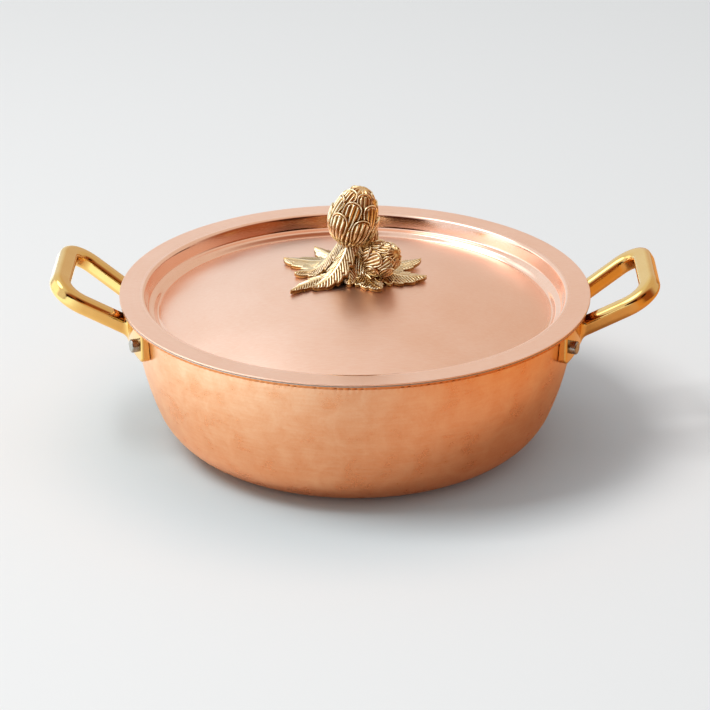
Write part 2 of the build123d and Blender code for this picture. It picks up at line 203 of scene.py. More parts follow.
world = bpy.data.worlds.new("pale_studio")
bpy.context.scene.world = world
world.use_nodes = True
tree = world.node_tree
tree.nodes.clear()
rays = add_node(tree, "ShaderNodeLightPath")
mirrored = add_node(
    tree, "ShaderNodeMath",
    {0: rays.outputs["Is Glossy Ray"], 1: rays.outputs["Is Transmission Ray"]}, operation="MAXIMUM",
)
first_look = add_node(
    tree, "ShaderNodeMath", {0: rays.outputs["Diffuse Depth"], 1: 0.5}, operation="LESS_THAN"
)
mirrored = add_node(tree, "ShaderNodeMath", {0: mirrored, 1: first_look}, operation="MULTIPLY")
way = add_node(tree, "ShaderNodeTexCoord").outputs["Generated"]
sideways = add_node(tree, "ShaderNodeSeparateXYZ", {0: way}).outputs[0]
sides = add_node(
    tree, "ShaderNodeMapRange", {"Value": sideways, "From Min": -tent_blend, "From Max": tent_blend}
)
tone = add_node(
    tree, "ShaderNodeMix", {0: sides, 6: shade(tent_by_window), 7: shade(tent_by_room)}, data_type="RGBA"
)
for aim, start, full, colour, brightness in mirrored_things.values():
    facing = add_node(tree, "ShaderNodeVectorMath", {0: way, 1: aim}, operation="DOT_PRODUCT")
    share = add_node(
        tree, "ShaderNodeMapRange", {"Value": facing, "From Min": start, "From Max": full},
        interpolation_type="SMOOTHSTEP",
    )
    tone = add_node(
        tree, "ShaderNodeMix", {0: share, 6: tone, 7: shade(colour, brightness)}, data_type="RGBA"
    )
room = add_node(tree, "ShaderNodeBackground", {"Color": shade(room_light), "Strength": room_light_strength})
backdrop = add_node(tree, "ShaderNodeBackground", {"Color": shade(backdrop_white), "Strength": 1.0})
tent = add_node(tree, "ShaderNodeBackground", {"Color": tone, "Strength": 1.0})
mixed = add_node(tree, "ShaderNodeMixShader", {0: rays.outputs["Is Camera Ray"], 1: room, 2: backdrop})
mixed = add_node(tree, "ShaderNodeMixShader", {0: mirrored, 1: mixed, 2: tent})
add_node(tree, "ShaderNodeOutputWorld", {"Surface": mixed})


def add_softbox(name, place, width, depth, power):
    """A rectangular lamp at a place in millimetres, turned to the middle of the pot. The metals mirror
    the tent in its place, so that it lights the table without a hard white square on them."""
    light = bpy.data.lights.new(name, "AREA")
    light.shape = "RECTANGLE"
    light.size, light.size_y = width * mm, depth * mm
    light.energy = power
    light.color = shade(lamp_white)[:3]
    lamp = bpy.data.objects.new(name, light)
    bpy.context.collection.objects.link(lamp)
    lamp.location = [c * mm for c in place]
    lamp.visible_glossy = False
    back = lamp.location.copy()
    back.z -= lit_height * mm
    lamp.rotation_euler = back.to_track_quat("Z", "Y").to_euler()


add_softbox("key_softbox", (-1350, -420, 2400), width=1200, depth=1200, power=45)
add_softbox("top_softbox", (0, 500, 2400), width=2200, depth=1800, power=8)

# Camera
# A long lens about 1.7 metres from the pot and a little above it, so that it is seen from a
# standing person's side of the table and with little perspective.
look_from = (16.3, -1553.0, 734.0)
look_down_angle = 23.77
look_left_angle = 0.6
lens_length = 142.93
lens = bpy.data.cameras.new("camera")
lens.lens = lens_length
camera = bpy.data.objects.new("camera", lens)
camera.location = [c * mm for c in look_from]
camera.rotation_euler = (math.radians(90 - look_down_angle), 0, math.radians(look_left_angle))
bpy.context.collection.objects.link(camera)
bpy.context.scene.camera = camera
bpy.context.scene.view_settings.view_transform = "Standard"

# Copper bowl
# One disc of 2 mm copper, raised over a stake into a round-sided bowl, planished all over with a
# polished hammer and finished by hand with fine abrasive, so its gloss is soft and slightly streaked.
# Its mouth is turned out into a narrow lip, and the bend under the lip is hammered in close notches.
bowl_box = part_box("pot_bowl")
lip_radius = bowl_box[1].x / mm
bowl_height = bowl_box[1].z / mm
lip_width = 8.0
lip_bend = 1.5
bowl_sheet = 2.0
bowl_side_run = 48.5
base_corner_radius = 39.0
lip_edge_round = 0.4
pole_radius = 0.6  # the mesh ends this far from the axis, in the middle of the base
hammer_spacing = 9.0
hammer_depth = 0.075
hammer_stray_share = 0.42
hammer_size_spread = 0.15
unhammered_base = 6.0  # past the edge of the flat base
hammer_fade_in = 12.0
hammer_fade_out = 5.0
hammer_seed = 3
notch_pitch = 3.5
notch_depth = 0.4
notch_height = 0.9
notch_below_bend = 2.0
lip_notch_depth = 0.8
lip_notch_height = 0.6
notch_seed = 8
steps_to_notch = 5

bowl_radius = lip_radius - lip_width
lip_underside = bowl_height - bowl_sheet
wall_top = lip_underside - lip_bend
wall_rise = wall_top - base_corner_radius
side_radius = (bowl_side_run**2 + wall_rise**2 - base_corner_radius**2) / (
    2 * (bowl_side_run - base_corner_radius)
)
side_centre = bowl_radius - side_radius
side_turn = math.atan2(wall_rise, bowl_radius - bowl_side_run - side_centre)
notches = round(2 * math.pi * bowl_radius / notch_pitch)
bowl_steps = notches * steps_to_notch


def arc_points(centre, radius, start, end, step):
    """Points of an arc in the radius and height plane, from a start to an end angle in degrees."""
    count = max(2, round(abs(math.radians(end - start)) * radius / step) + 1)
    angles = np.radians(np.linspace(start, end, count))
    return np.column_stack([centre[0] + radius * np.cos(angles), centre[1] + radius * np.sin(angles)])


def line_points(start, end, step):
    """Points of a straight line, about a step apart."""
    count = max(2, round(math.dist(start, end) / step) + 1)
    return np.linspace(start, end, count)


def chained(*runs):
    """Runs of points put end to end, without the points that two runs share."""
    kept = [runs[0]]
    for run in runs[1:]:
        kept.append(run[1:] if np.allclose(kept[-1][-1], run[0], atol=1e-6) else run)
    return np.concatenate(kept)


def bowl_line(inset, step):
    """The bowl's section from the edge of its flat base up to the top of its wall, set in by an inset."""
    turn = math.degrees(side_turn)
    corner_centre = (bowl_radius - bowl_side_run, base_corner_radius)
    corner = arc_points(corner_centre, base_corner_radius - inset, -90, -turn, step)
    side = arc_points((side_centre, wall_top), side_radius - inset, -turn, 0, step)
    return chained(corner, side)


def section_normals(profile, closed):
    """Unit vectors to the right of the way along a section."""
    if closed:
        along = np.roll(profile, -1, axis=0) - np.roll(profile, 1, axis=0)
    else:
        along = np.gradient(profile, axis=0)
    along /= np.linalg.norm(along, axis=1)[:, None]
    return np.column_stack([along[:, 1], -along[:, 0]])


def run_along(line):
    """The way from the start of a line to each of its points."""
    return np.concatenate([[0], np.cumsum(np.linalg.norm(np.diff(line, axis=0), axis=1))])


def ramp(value, start, width):
    """From 0 at a start to 1 at a width from it, which may be negative, and level beyond both."""
    return np.clip((value - start) / width, 0, 1)


def round_and_along(line, radius, steps):
    """A grid of the ways round at a radius and along a section, for the marks on a turned sheet."""
    return np.meshgrid(np.arange(steps) * 2 * math.pi * radius / steps, run_along(line), indexing="ij")


def turned(profile, steps, relief):
    """Points and quads of a closed section turned round Z. Relief moves them out along its normal."""
    angles = np.arange(steps) * 2 * math.pi / steps
    normals = section_normals(profile, True)
    radius = profile[None, :, 0] + relief * normals[None, :, 0]
    height = profile[None, :, 1] + relief * normals[None, :, 1]
    points = np.stack(
        [radius * np.cos(angles)[:, None], radius * np.sin(angles)[:, None], height], axis=-1
    ).reshape(-1, 3)
    width = len(profile)
    ring, row = np.meshgrid(np.arange(steps), np.arange(width), indexing="ij")
    after, up = (ring + 1) % steps, (row + 1) % width
    quads = np.stack(
        [ring * width + row, after * width + row, after * width + up, ring * width + up], axis=-1
    )
    return points, quads.reshape(-1, 4)


def hammer_marks(girth, rise, around, spacing, depth, seed):
    """Shallow dishes side by side, one for each blow. Girth and rise are places in millimetres on a
    surface that closes on itself after a way round of that many millimetres."""
    columns = round(around / spacing)
    pitch = around / columns
    lines = int(rise.max() / spacing) + 4
    chance = np.random.default_rng(seed)
    shift = chance.uniform(-hammer_stray_share, hammer_stray_share, (lines, columns, 2))
    size = chance.uniform(1 - hammer_size_spread, 1 + hammer_size_spread, (lines, columns))
    column = np.floor(girth / pitch).astype(int)
    line = np.floor(rise / spacing).astype(int) + 1
    nearest = np.full(girth.shape, 1e9)
    for step_line in (-1, 0, 1):
        row = line + step_line
        stagger = 0.5 * (row % 2)
        for step_column in (-1, 0, 1):
            cell = (column + step_column) % columns
            across = girth - (column + step_column + 0.5 + stagger - 0.25 + shift[row, cell, 0]) * pitch
            up = rise - (row - 0.5 + shift[row, cell, 1]) * spacing
            nearest = np.minimum(nearest, (across**2 + up**2) * size[row, cell])
    rounded = 1 - np.exp(-nearest / (0.5 * spacing) ** 2)
    return depth * (rounded - 1)


lip_bend_centre = (bowl_radius + lip_bend, wall_top)
lip_round_radius = lip_radius - lip_edge_round
base_radius = bowl_radius - bowl_side_run
section = chained(
    line_points((pole_radius, 0), (base_radius, 0), step=2.5),
    bowl_line(0, step=1.3),
    arc_points(lip_bend_centre, lip_bend, 180, 90, step=0.25),
    line_points((bowl_radius + lip_bend, lip_underside), (lip_round_radius, lip_underside), step=1.0),
    arc_points((lip_round_radius, lip_underside + lip_edge_round), lip_edge_round, -90, 0, step=0.2),
    arc_points((lip_round_radius, bowl_height - lip_edge_round), lip_edge_round, 0, 90, step=0.2),
    line_points((lip_round_radius, bowl_height), (bowl_radius + lip_bend, bowl_height), step=1.0),
    arc_points(lip_bend_centre, lip_bend + bowl_sheet, 90, 180, step=0.4),
    bowl_line(bowl_sheet, step=3.0)[::-1],
    line_points((base_radius, bowl_sheet), (pole_radius, bowl_sheet), step=4.0),
)
along = run_along(section)
girth, rise = round_and_along(section, bowl_radius, bowl_steps)
base_end = base_radius - pole_radius
wall_end = along[np.argmax(section[:, 1] >= wall_top)]
lip_end = along[np.argmax(section[:, 0] >= lip_radius - 0.05)]
marks = hammer_marks(girth, rise, 2 * math.pi * bowl_radius, hammer_spacing, hammer_depth, hammer_seed)
marked = ramp(along, base_end + unhammered_base, hammer_fade_in) * ramp(along, wall_end, -hammer_fade_out)
chance = np.random.default_rng(notch_seed)
notch_strength = np.repeat(chance.uniform(0.35, 1.0, notches), steps_to_notch)
notch_wave = 0.5 - 0.5 * np.cos(girth[:, 0] / bowl_radius * notches)
notched = notch_depth * np.exp(-(((along - wall_end + notch_below_bend) / notch_height) ** 2))
notched = notched + lip_notch_depth * np.exp(-(((along - lip_end) / lip_notch_height) ** 2))
relief = marks * marked[None, :] - (notch_wave * notch_strength)[:, None] * notched[None, :]

# Raised and planished copper. A clean metal of about 90 percent reflectance in red and half of that
# in blue. The hammer leaves it satin, so it shows the room as soft patches and no sharp picture.
copper_bright = "#FBD5B3"
copper_deep = "#E9A272"
# A deeper orange, the painted shade on the lip under the lid's overhanging edge.
lip_shade_orange = "#D98A55"
fleck_spacing = 0.9
brushing_width = 1.6
brushing_length = 14.0
cloud_width = 14.0
scratch_depth = 0.04


def metal_skin(tree, colour, gloss, marks, depth, strength):
    """Ends a material in bare metal of a colour and gloss, with marks of a depth in millimetres."""
    bump = add_node(
        tree, "ShaderNodeBump", {"Height": marks, "Strength": strength, "Distance": depth * mm}
    )
    skin = add_node(
        tree, "ShaderNodeBsdfPrincipled",
        {"Base Color": colour, "Metallic": 1.0, "Roughness": gloss, "Normal": bump},
    )
    add_node(tree, "ShaderNodeOutputMaterial", {"Surface": skin})


planished_copper, tree, place = new_material("planished_copper")
clouds = add_node(
    tree, "ShaderNodeTexNoise",
    {"Vector": place, "Scale": 1000 / cloud_width, "Detail": 6.0, "Roughness": 0.62, "Distortion": 0.4},
)
rubbings = []
for slope in (0.55, -0.75):
    strokes = add_node(
        tree, "ShaderNodeMapping",
        {
            "Vector": place, "Rotation": (slope, -slope, 0),
            "Scale": (1000 / brushing_length, 1000 / brushing_length, 1000 / brushing_width),
        },
    )
    rubbings.append(
        add_node(tree, "ShaderNodeTexNoise", {"Vector": strokes, "Scale": 1.0, "Detail": 3.0})
    )
flecks = add_node(
    tree, "ShaderNodeTexNoise", {"Vector": place, "Scale": 1000 / fleck_spacing, "Detail": 2.0}
)
strokes = add_node(tree, "ShaderNodeMath", {0: rubbings[0], 1: rubbings[1]}, operation="ADD")
fine = add_node(tree, "ShaderNodeMath", {0: strokes, 1: flecks}, operation="ADD")
both = add_node(tree, "ShaderNodeMath", {0: clouds, 1: 5.0, 2: fine}, operation="MULTIPLY_ADD")
tone = add_node(tree, "ShaderNodeMapRange", {"Value": both, "From Min": 2.2, "From Max": 5.8})
colour = add_node(
    tree, "ShaderNodeMix", {0: tone, 6: shade(copper_deep), 7: shade(copper_bright)}, data_type="RGBA"
)
up = add_node(tree, "ShaderNodeSeparateXYZ", {0: place}).outputs[2]
# Painted shade: the lip under the lid's overhanging edge is painted a deeper, darker orange than the rest
# of the copper.
shaded_lip_zone = add_node(
    tree, "ShaderNodeMapRange",
    {"Value": up, "From Min": (lip_underside - 0.3) * mm, "From Max": (lip_underside + 0.1) * mm},
)
colour = add_node(
    tree, "ShaderNodeMix", {0: shaded_lip_zone, 6: colour, 7: shade(lip_shade_orange)}, data_type="RGBA"
)
gloss = add_node(
    tree, "ShaderNodeMapRange",
    {"Value": both, "From Min": 2.5, "From Max": 5.5, "To Min": 0.24, "To Max": 0.36},
)
metal_skin(tree, colour, gloss, fine, scratch_depth, strength=0.2)

bowl = add_mesh("copper_bowl", *turned(section, bowl_steps, relief), planished_copper)
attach(bowl, "pot")
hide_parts("pot_bowl")

# Tin lining of the bowl
# Pure tin, melted in the hot bowl and wiped round by hand with a pad of tow, which leaves a soft
# bright skin with wiping streaks. It reaches up to the bend of the lip.
tin_white = "#D6D6D2"
tin_grey = "#B9B9B6"
wipe_length = 1000 / 14
wipe_width = 6.25
wipe_depth = 0.1
wiped_tin, tree, place = new_material("hand_wiped_tin")
swept = add_node(
    tree, "ShaderNodeMapping",
    {
        "Vector": place, "Rotation": (0.2, 0.1, 0),
        "Scale": (1000 / wipe_length, 1000 / wipe_length, 1000 / wipe_width),
    },
)
wipes = add_node(tree, "ShaderNodeTexNoise", {"Vector": swept, "Scale": 1.0, "Detail": 5.0})
colour = add_node(
    tree, "ShaderNodeMix", {0: wipes, 6: shade(tin_grey), 7: shade(tin_white)}, data_type="RGBA"
)
gloss = add_node(tree, "ShaderNodeMapRange", {"Value": wipes, "To Min": 0.3, "To Max": 0.48})
metal_skin(tree, colour, gloss, wipes, wipe_depth, strength=0.3)


def coat(node, material):
    """Gives its material to a piece that is shown just as the solids have it."""
    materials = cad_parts[node].data.materials
    materials.clear()
    materials.append(material)


coat("pot_lining", wiped_tin)

# Brass handles
# Each handle is one sand casting in yellow brass: a curved plate that lies on the wall, and a loop
# that rises from it. It is fettled smooth and buffed bright, and every corner of it is softly round.
handle_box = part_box("right_handle")
handle_gap = 0.1
plate_thickness = 4.6
plate_half_angle = 25.3
plate_above = 8.4
plate_below = 10.7
plate_corner = 3.0
plate_edge = 1.0
handle_drop = 11.8
handle_tilt = math.radians(33.2)
handle_reach = 50.0
handle_thickness = 10.6
handle_round = 3.6
leg_width = 10.2
grip_width = 11.5
root_half_width = 29.2
grip_half_width = 42.7
outer_corner = 23.7
inner_corner = 10.9
cast_fillet = 3.5
casting_cell = 0.7
smoothing_rounds = 7
smoothing_share = 0.6
least_slope = 0.5
slope_step = 0.02

plate_radius = bowl_radius + handle_gap + plate_thickness
handle_root = bowl_height - handle_drop
leg_spread = (grip_half_width - root_half_width) / handle_reach


def rounded_corner(one, other, radius):
    """Distance to where two faces meet in a rounded corner, from the distances to the faces."""
    a, b = one + radius, other + radius
    return np.hypot(np.maximum(a, 0), np.maximum(b, 0)) + np.minimum(np.maximum(a, b), 0) - radius


def blended(one, other, reach):
    """The union of two distances with a soft hollow where they meet."""
    overlap = np.maximum(reach - np.abs(one - other), 0) / reach
    return np.minimum(one, other) - overlap**2 * reach / 4


def wall_distance(points):
    """How far inside the outer face of the bowl a point lies."""
    out = np.hypot(points[..., 0], points[..., 1])
    fall = np.clip(wall_top - points[..., 2], 0, side_radius)
    face = side_centre + np.sqrt(side_radius**2 - fall**2)
    return face + handle_gap - out


def handle_distance(points):
    """Distance to the surface of the handle on the +X side, from points in millimetres."""
    x, y, z = points[..., 0], points[..., 1], points[..., 2]
    ahead, above = x - plate_radius, z - handle_root
    reach = ahead * math.cos(handle_tilt) + above * math.sin(handle_tilt)
    across = above * math.cos(handle_tilt) - ahead * math.sin(handle_tilt)
    slant = 1 / math.hypot(1, leg_spread)
    outside = rounded_corner(
        (np.abs(y) - root_half_width - reach * leg_spread) * slant, reach - handle_reach, outer_corner
    )
    inside = rounded_corner(
        (np.abs(y) - root_half_width + leg_width - reach * leg_spread) * slant,
        reach - handle_reach + grip_width,
        inner_corner,
    )
    ring = np.maximum(outside, -inside)
    loop = rounded_corner(ring, np.abs(across) - handle_thickness / 2, handle_round)
    out = np.hypot(x, y)
    girth = np.arctan2(y, x) * plate_radius
    middle = handle_root + (plate_above - plate_below) / 2
    outline = rounded_corner(
        np.abs(girth) - math.radians(plate_half_angle) * plate_radius,
        np.abs(z - middle) - (plate_above + plate_below) / 2,
        plate_corner,
    )
    plate = rounded_corner(outline, out - plate_radius, plate_edge)
    return np.maximum(blended(loop, plate, cast_fillet), wall_distance(points))


def slope_of(distance, points):
    """Gradient of a distance, from small steps along each axis."""
    sides = []
    for axis in range(3):
        move = np.zeros(3)
        move[axis] = slope_step
        sides.append((distance(points + move) - distance(points - move)) / (2 * slope_step))
    return np.stack(sides, axis=-1)


def cell_quads(inside, number, axis):
    """Quads between the numbered cells round each edge along an axis that crosses the surface."""
    after = np.moveaxis(inside, axis, 0)
    cells = np.moveaxis(number, axis, 0)
    changed = after[1:] != after[:-1]
    where = np.argwhere(changed[:, 1:-1, 1:-1])
    i, j, k = where[:, 0], where[:, 1] + 1, where[:, 2] + 1
    quads = np.column_stack(
        [cells[i, j - 1, k - 1], cells[i, j, k - 1], cells[i, j, k], cells[i, j - 1, k]]
    )
    turn = after[:-1][i, j, k] ^ (axis == 1)
    quads[~turn] = quads[~turn][:, ::-1]
    return quads


def smoothed(points, quads, distance):
    """Points moved towards the mean of their neighbours, and each time pulled back to the surface."""
    ends = np.concatenate([quads[:, [0, 1]], quads[:, [1, 2]], quads[:, [2, 3]], quads[:, [3, 0]]])
    ends = np.concatenate([ends, ends[:, ::-1]])
    count = np.bincount(ends[:, 0], minlength=len(points))[:, None]
    for smoothing in range(smoothing_rounds):
        total = np.column_stack(
            [np.bincount(ends[:, 0], points[ends[:, 1], axis], len(points)) for axis in range(3)]
        )
        points = (1 - smoothing_share) * points + smoothing_share * total / count
        for pull in range(2):
            slope = slope_of(distance, points)
            away = distance(points)[:, None]
            steepness = np.maximum((slope**2).sum(axis=1)[:, None], least_slope**2)
            points = points - away * slope / steepness
    return points


def cast_mesh(distance, low, high, cell):
    """Points and quads on the zero surface of a distance, from one point in each cell it crosses."""
    axes = [np.arange(a, b + cell, cell) for a, b in zip(low, high)]
    inside = distance(np.stack(np.meshgrid(*axes, indexing="ij"), axis=-1)) < 0
    nx, ny, nz = inside.shape
    filled = np.zeros((nx - 1, ny - 1, nz - 1), int)
    for i, j, k in np.ndindex(2, 2, 2):
        filled += inside[i : nx - 1 + i, j : ny - 1 + j, k : nz - 1 + k]
    mixed = (filled > 0) & (filled < 8)
    number = np.full(mixed.shape, -1)
    number[mixed] = np.arange(mixed.sum())
    points = np.array([a[0] for a in axes]) + (np.argwhere(mixed) + 0.5) * cell
    quads = np.concatenate([cell_quads(inside, number, axis) for axis in range(3)])
    return smoothed(points, quads, distance), quads


# Buffed yellow brass: a warm yellow metal that mirrors the room with a faint blur from the buffing
# wheel, so it shows cream where it faces the light and deep gold where it faces the copper.
brass_gold = "#ECC983"
brass_deep = "#DFB263"
buffed_wave = 1000 / 70
buffed_depth = 0.4
buffed_brass, tree, place = new_material("buffed_cast_brass")
waves = add_node(
    tree, "ShaderNodeTexNoise", {"Vector": place, "Scale": 1000 / buffed_wave, "Detail": 4.0}
)
colour = add_node(
    tree, "ShaderNodeMix", {0: waves, 6: shade(brass_deep), 7: shade(brass_gold)}, data_type="RGBA"
)
gloss = add_node(tree, "ShaderNodeMapRange", {"Value": waves, "To Min": 0.06, "To Max": 0.14})
metal_skin(tree, colour, gloss, waves, buffed_depth, strength=0.25)

margin = 2 * casting_cell
handle_points, handle_faces = cast_mesh(
    handle_distance,
    [c / mm - margin for c in handle_box[0]],
    [c / mm + margin for c in handle_box[1]],
    casting_cell,
)
for side, node in ((1, "right_handle"), (-1, "left_handle")):
    cast = add_mesh(f"brass_{node}", handle_points * (side, 1, 1), handle_faces, buffed_brass)
    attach(cast, "pot")
    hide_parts(node)

# Rivets
# Turned steel rivets, two to a handle. The flat heads stay outside, and the shanks are closed into
# low domes against the tin inside.
rivet_grey = "#B4B0AA"
rivet_dark = "#8E8A84"
turned_grain = 1000 / 420
turned_depth = 0.1
turned_steel, tree, place = new_material("turned_rivet_steel")
grain = add_node(
    tree, "ShaderNodeTexNoise", {"Vector": place, "Scale": 1000 / turned_grain, "Detail": 4.0}
)
colour = add_node(
    tree, "ShaderNodeMix", {0: grain, 6: shade(rivet_dark), 7: shade(rivet_grey)}, data_type="RGBA"
)
gloss = add_node(tree, "ShaderNodeMapRange", {"Value": grain, "To Min": 0.18, "To Max": 0.34})
metal_skin(tree, colour, gloss, grain, turned_depth, strength=0.3)
for end in ("right_front", "right_rear", "left_front", "left_rear"):
    coat(f"{end}_rivet", turned_steel)

# Lid
# One disc of 1.2 mm copper, spun over a former: a domed panel, a stepped wall that drops into the
# mouth of the bowl, and a flat flange with a plain cut edge that lies on the lip. It is buffed.
lid_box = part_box("lid_shell")
lid_radius = lid_box[1].x / mm
crown_height = lid_box[1].z / mm
lid_sheet = 1.2
lid_upper_round = 0.3
lid_lower_round = 0.7
lid_dome_rise = 10.0
lid_trough_depth = 12.6
lid_ledge_depth = 8.8
lid_ledge_fall = 1.0
flange_inner_radius = 125.2
ledge_outer_radius = 122.8
ledge_inner_radius = 119.6
panel_radius = 117.4
dome_share = 0.97
root_bend = 0.8
nose_bend = 1.8
flange_bend = 2.0
screw_hole_radius = 2.55
lid_steps = 720
dent_spacing = 26.0
dent_depth = 0.03
dent_seed = 11
undented_middle = 8.0
dent_fade_in = 20.0
dent_fade_out = 12.0

lid_top = crown_height - lid_dome_rise
panel_drop = lid_dome_rise + lid_trough_depth
dome_radius = (panel_radius**2 + panel_drop**2) / (2 * panel_drop)
dome_centre = crown_height - dome_radius


def filleted(corners, radii, step):
    """A run of straight lines with its inner corners rounded, as points."""
    runs = []
    last = np.array(corners[0], float)
    for before, corner, after, radius in zip(corners, corners[1:], corners[2:], radii):
        before, corner, after = (np.array(p, float) for p in (before, corner, after))
        back = (before - corner) / np.linalg.norm(before - corner)
        ahead = (after - corner) / np.linalg.norm(after - corner)
        half = math.acos(float(np.clip(back @ ahead, -1, 1))) / 2
        start, end = corner + back * radius / math.tan(half), corner + ahead * radius / math.tan(half)
        middle = (back + ahead) / np.linalg.norm(back + ahead)
        centre = corner + middle * radius / math.sin(half)
        first = math.degrees(math.atan2(*(start - centre)[::-1]))
        turn = (math.degrees(math.atan2(*(end - centre)[::-1])) - first + 180) % 360 - 180
        runs.append(line_points(last, start, step * 4))
        runs.append(arc_points(centre, radius, first, first + turn, step))
        last = end
    runs.append(line_points(last, corners[-1], step * 4))
    return chained(*runs)


panel_edge_angle = math.degrees(math.asin(panel_radius / dome_radius)) * dome_share
hole_angle = math.degrees(math.asin(screw_hole_radius / dome_radius))
dome = arc_points((0, dome_centre), dome_radius, 90 - hole_angle, 90 - panel_edge_angle, step=1.6)
panel_fall = math.radians(panel_edge_angle)
run_out = panel_radius / math.cos(panel_fall) * (1 - dome_share)
lid_wall = filleted(
    [
        dome[-1],
        dome[-1] + np.array([math.cos(panel_fall), -math.sin(panel_fall)]) * run_out,
        (ledge_inner_radius, lid_top - lid_ledge_depth - lid_ledge_fall),
        (ledge_outer_radius, lid_top - lid_ledge_depth),
        (flange_inner_radius, lid_top),
        (lid_radius - lid_lower_round, lid_top),
    ],
    [root_bend, nose_bend, root_bend, flange_bend],
    step=0.25,
)
lid_line = chained(dome, lid_wall)


def set_off(line, distance):
    """A copy of a section line, moved a distance to the left of its way."""
    return line - section_normals(line, False) * distance


upper_round_height = lid_top - lid_upper_round
lower_round_height = lid_top - lid_sheet + lid_lower_round
lid_section = chained(
    lid_line,
    arc_points((lid_radius - lid_upper_round, upper_round_height), lid_upper_round, 90, 0, step=0.12),
    line_points((lid_radius, upper_round_height), (lid_radius, lower_round_height), step=0.3),
    arc_points((lid_radius - lid_lower_round, lower_round_height), lid_lower_round, 0, -90, step=0.2),
    set_off(lid_line, -lid_sheet)[::-1],
)
girth, rise = round_and_along(lid_section, lid_radius, lid_steps)
dents = hammer_marks(girth, rise, 2 * math.pi * lid_radius, dent_spacing, dent_depth, dent_seed)
along = run_along(lid_section)
dome_run = along[len(dome) - 1]
dented = ramp(along, undented_middle, dent_fade_in) * ramp(along, dome_run, -dent_fade_out)
relief = dents * dented[None, :]

# Buffed copper, pinker and paler than the bowl. The stepped wall is polished and mirrors the room, and
# the panel and flange are left satin, with short fibres from the buff and the faintest lathe rings.
lid_bright = "#FCD8C4"
lid_deep = "#F6C8AE"
ring_spacing = 1.7
ring_stretch = 1000 / 7
fibre_width = 0.8
fibre_length = 5.0
tone_width = 1000 / 24
polish_blend_inside = 3.0
polish_blend_outside = 0.8
polished_gloss = 0.1
spun_copper, tree, place = new_material("spun_and_buffed_copper")
flat = add_node(tree, "ShaderNodeVectorMath", {0: place, 1: (1, 1, 0)}, operation="MULTIPLY")
out = add_node(tree, "ShaderNodeVectorMath", {0: flat}, operation="LENGTH")
parts = add_node(tree, "ShaderNodeSeparateXYZ", {0: place})
rings = add_node(tree, "ShaderNodeCombineXYZ", {0: parts.outputs[0], 1: parts.outputs[1], 2: out})
spun = add_node(
    tree, "ShaderNodeMapping",
    {
        "Vector": rings,
        "Scale": (1000 / ring_stretch, 1000 / ring_stretch, 1000 / ring_spacing),
    },
)
lathe_marks = add_node(tree, "ShaderNodeTexNoise", {"Vector": spun, "Scale": 1.0, "Detail": 3.0})
brushed = add_node(
    tree, "ShaderNodeMapping",
    {"Vector": place, "Scale": (1000 / fibre_length, 1000 / fibre_width, 1000 / fibre_width)},
)
fibres = add_node(tree, "ShaderNodeTexNoise", {"Vector": brushed, "Scale": 1.0, "Detail": 3.0})
clouds = add_node(
    tree, "ShaderNodeTexNoise",
    {"Vector": place, "Scale": 1000 / tone_width, "Detail": 5.0, "Roughness": 0.6},
)
grain = add_node(tree, "ShaderNodeMath", {0: lathe_marks, 1: 0.25, 2: fibres}, operation="MULTIPLY_ADD")
both = add_node(tree, "ShaderNodeMath", {0: clouds, 1: 1.2, 2: grain}, operation="MULTIPLY_ADD")
tone = add_node(tree, "ShaderNodeMapRange", {"Value": both, "From Min": 0.8, "From Max": 1.6})
colour = add_node(
    tree, "ShaderNodeMix", {0: tone, 6: shade(lid_deep), 7: shade(lid_bright)}, data_type="RGBA"
)
wall_zone = add_node(
    tree, "ShaderNodeMapRange",
    {
        "Value": out,
        "From Min": (panel_radius - polish_blend_inside) * mm, "From Max": panel_radius * mm,
    },
    interpolation_type="SMOOTHSTEP",
)
flange_start = flange_inner_radius + flange_bend
flange_zone = add_node(
    tree, "ShaderNodeMapRange",
    {
        "Value": out, "To Min": 1.0, "To Max": 0.0,
        "From Min": flange_start * mm, "From Max": (flange_start + polish_blend_outside) * mm,
    },
    interpolation_type="SMOOTHSTEP",
)
polished = add_node(tree, "ShaderNodeMath", {0: wall_zone, 1: flange_zone}, operation="MULTIPLY")
satin = add_node(
    tree, "ShaderNodeMapRange",
    {"Value": clouds, "From Min": 0.3, "From Max": 0.7, "To Min": 0.32, "To Max": 0.4},
)
gloss = add_node(tree, "ShaderNodeMix", {0: polished, 2: satin, 3: polished_gloss})
metal_skin(tree, colour, gloss, grain, scratch_depth, strength=0.2)

lid = add_mesh("copper_lid", *turned(lid_section, lid_steps, relief), spun_copper)
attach(lid, "lid")
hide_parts("lid_shell")

# Tin lining of the lid
# The same hand-wiped tin, on the whole underside of the lid, since steam and food touch it too. It is
# thinner than the copper and follows it closely.
coat("lid_lining", wiped_tin)

# Leaves and stem of the knob
# The knob is cast in brass from a carved pattern. Serrated leaves with a midrib and slanting veins
# hang from the neck of the stem and spread over the crown of the lid, and the stem is ribbed.
leaf_sheet = 2.2
leaf_gap = 0.25
leaf_steps = 130
leaf_half_steps = 18
least_half_width = 0.35
vein_pitch = 1.9
vein_height = 0.38
vein_slant = 0.9
rib_height = 0.7
rib_width = 0.9
rim_height = 0.35
rim_place = 0.92  # share of the half width
rim_width = 0.08
edge_fall = 0.45
edge_thinning = 0.2
tooth_depth = 0.26
cast_relief = 0.5
leaf_reach = 4  # points to each side that a place is compared with
under_rubbed = 0.35


def above_lid(x, y):
    """Height of the top of the domed panel at a place."""
    return dome_centre + np.sqrt(dome_radius**2 - x**2 - y**2)


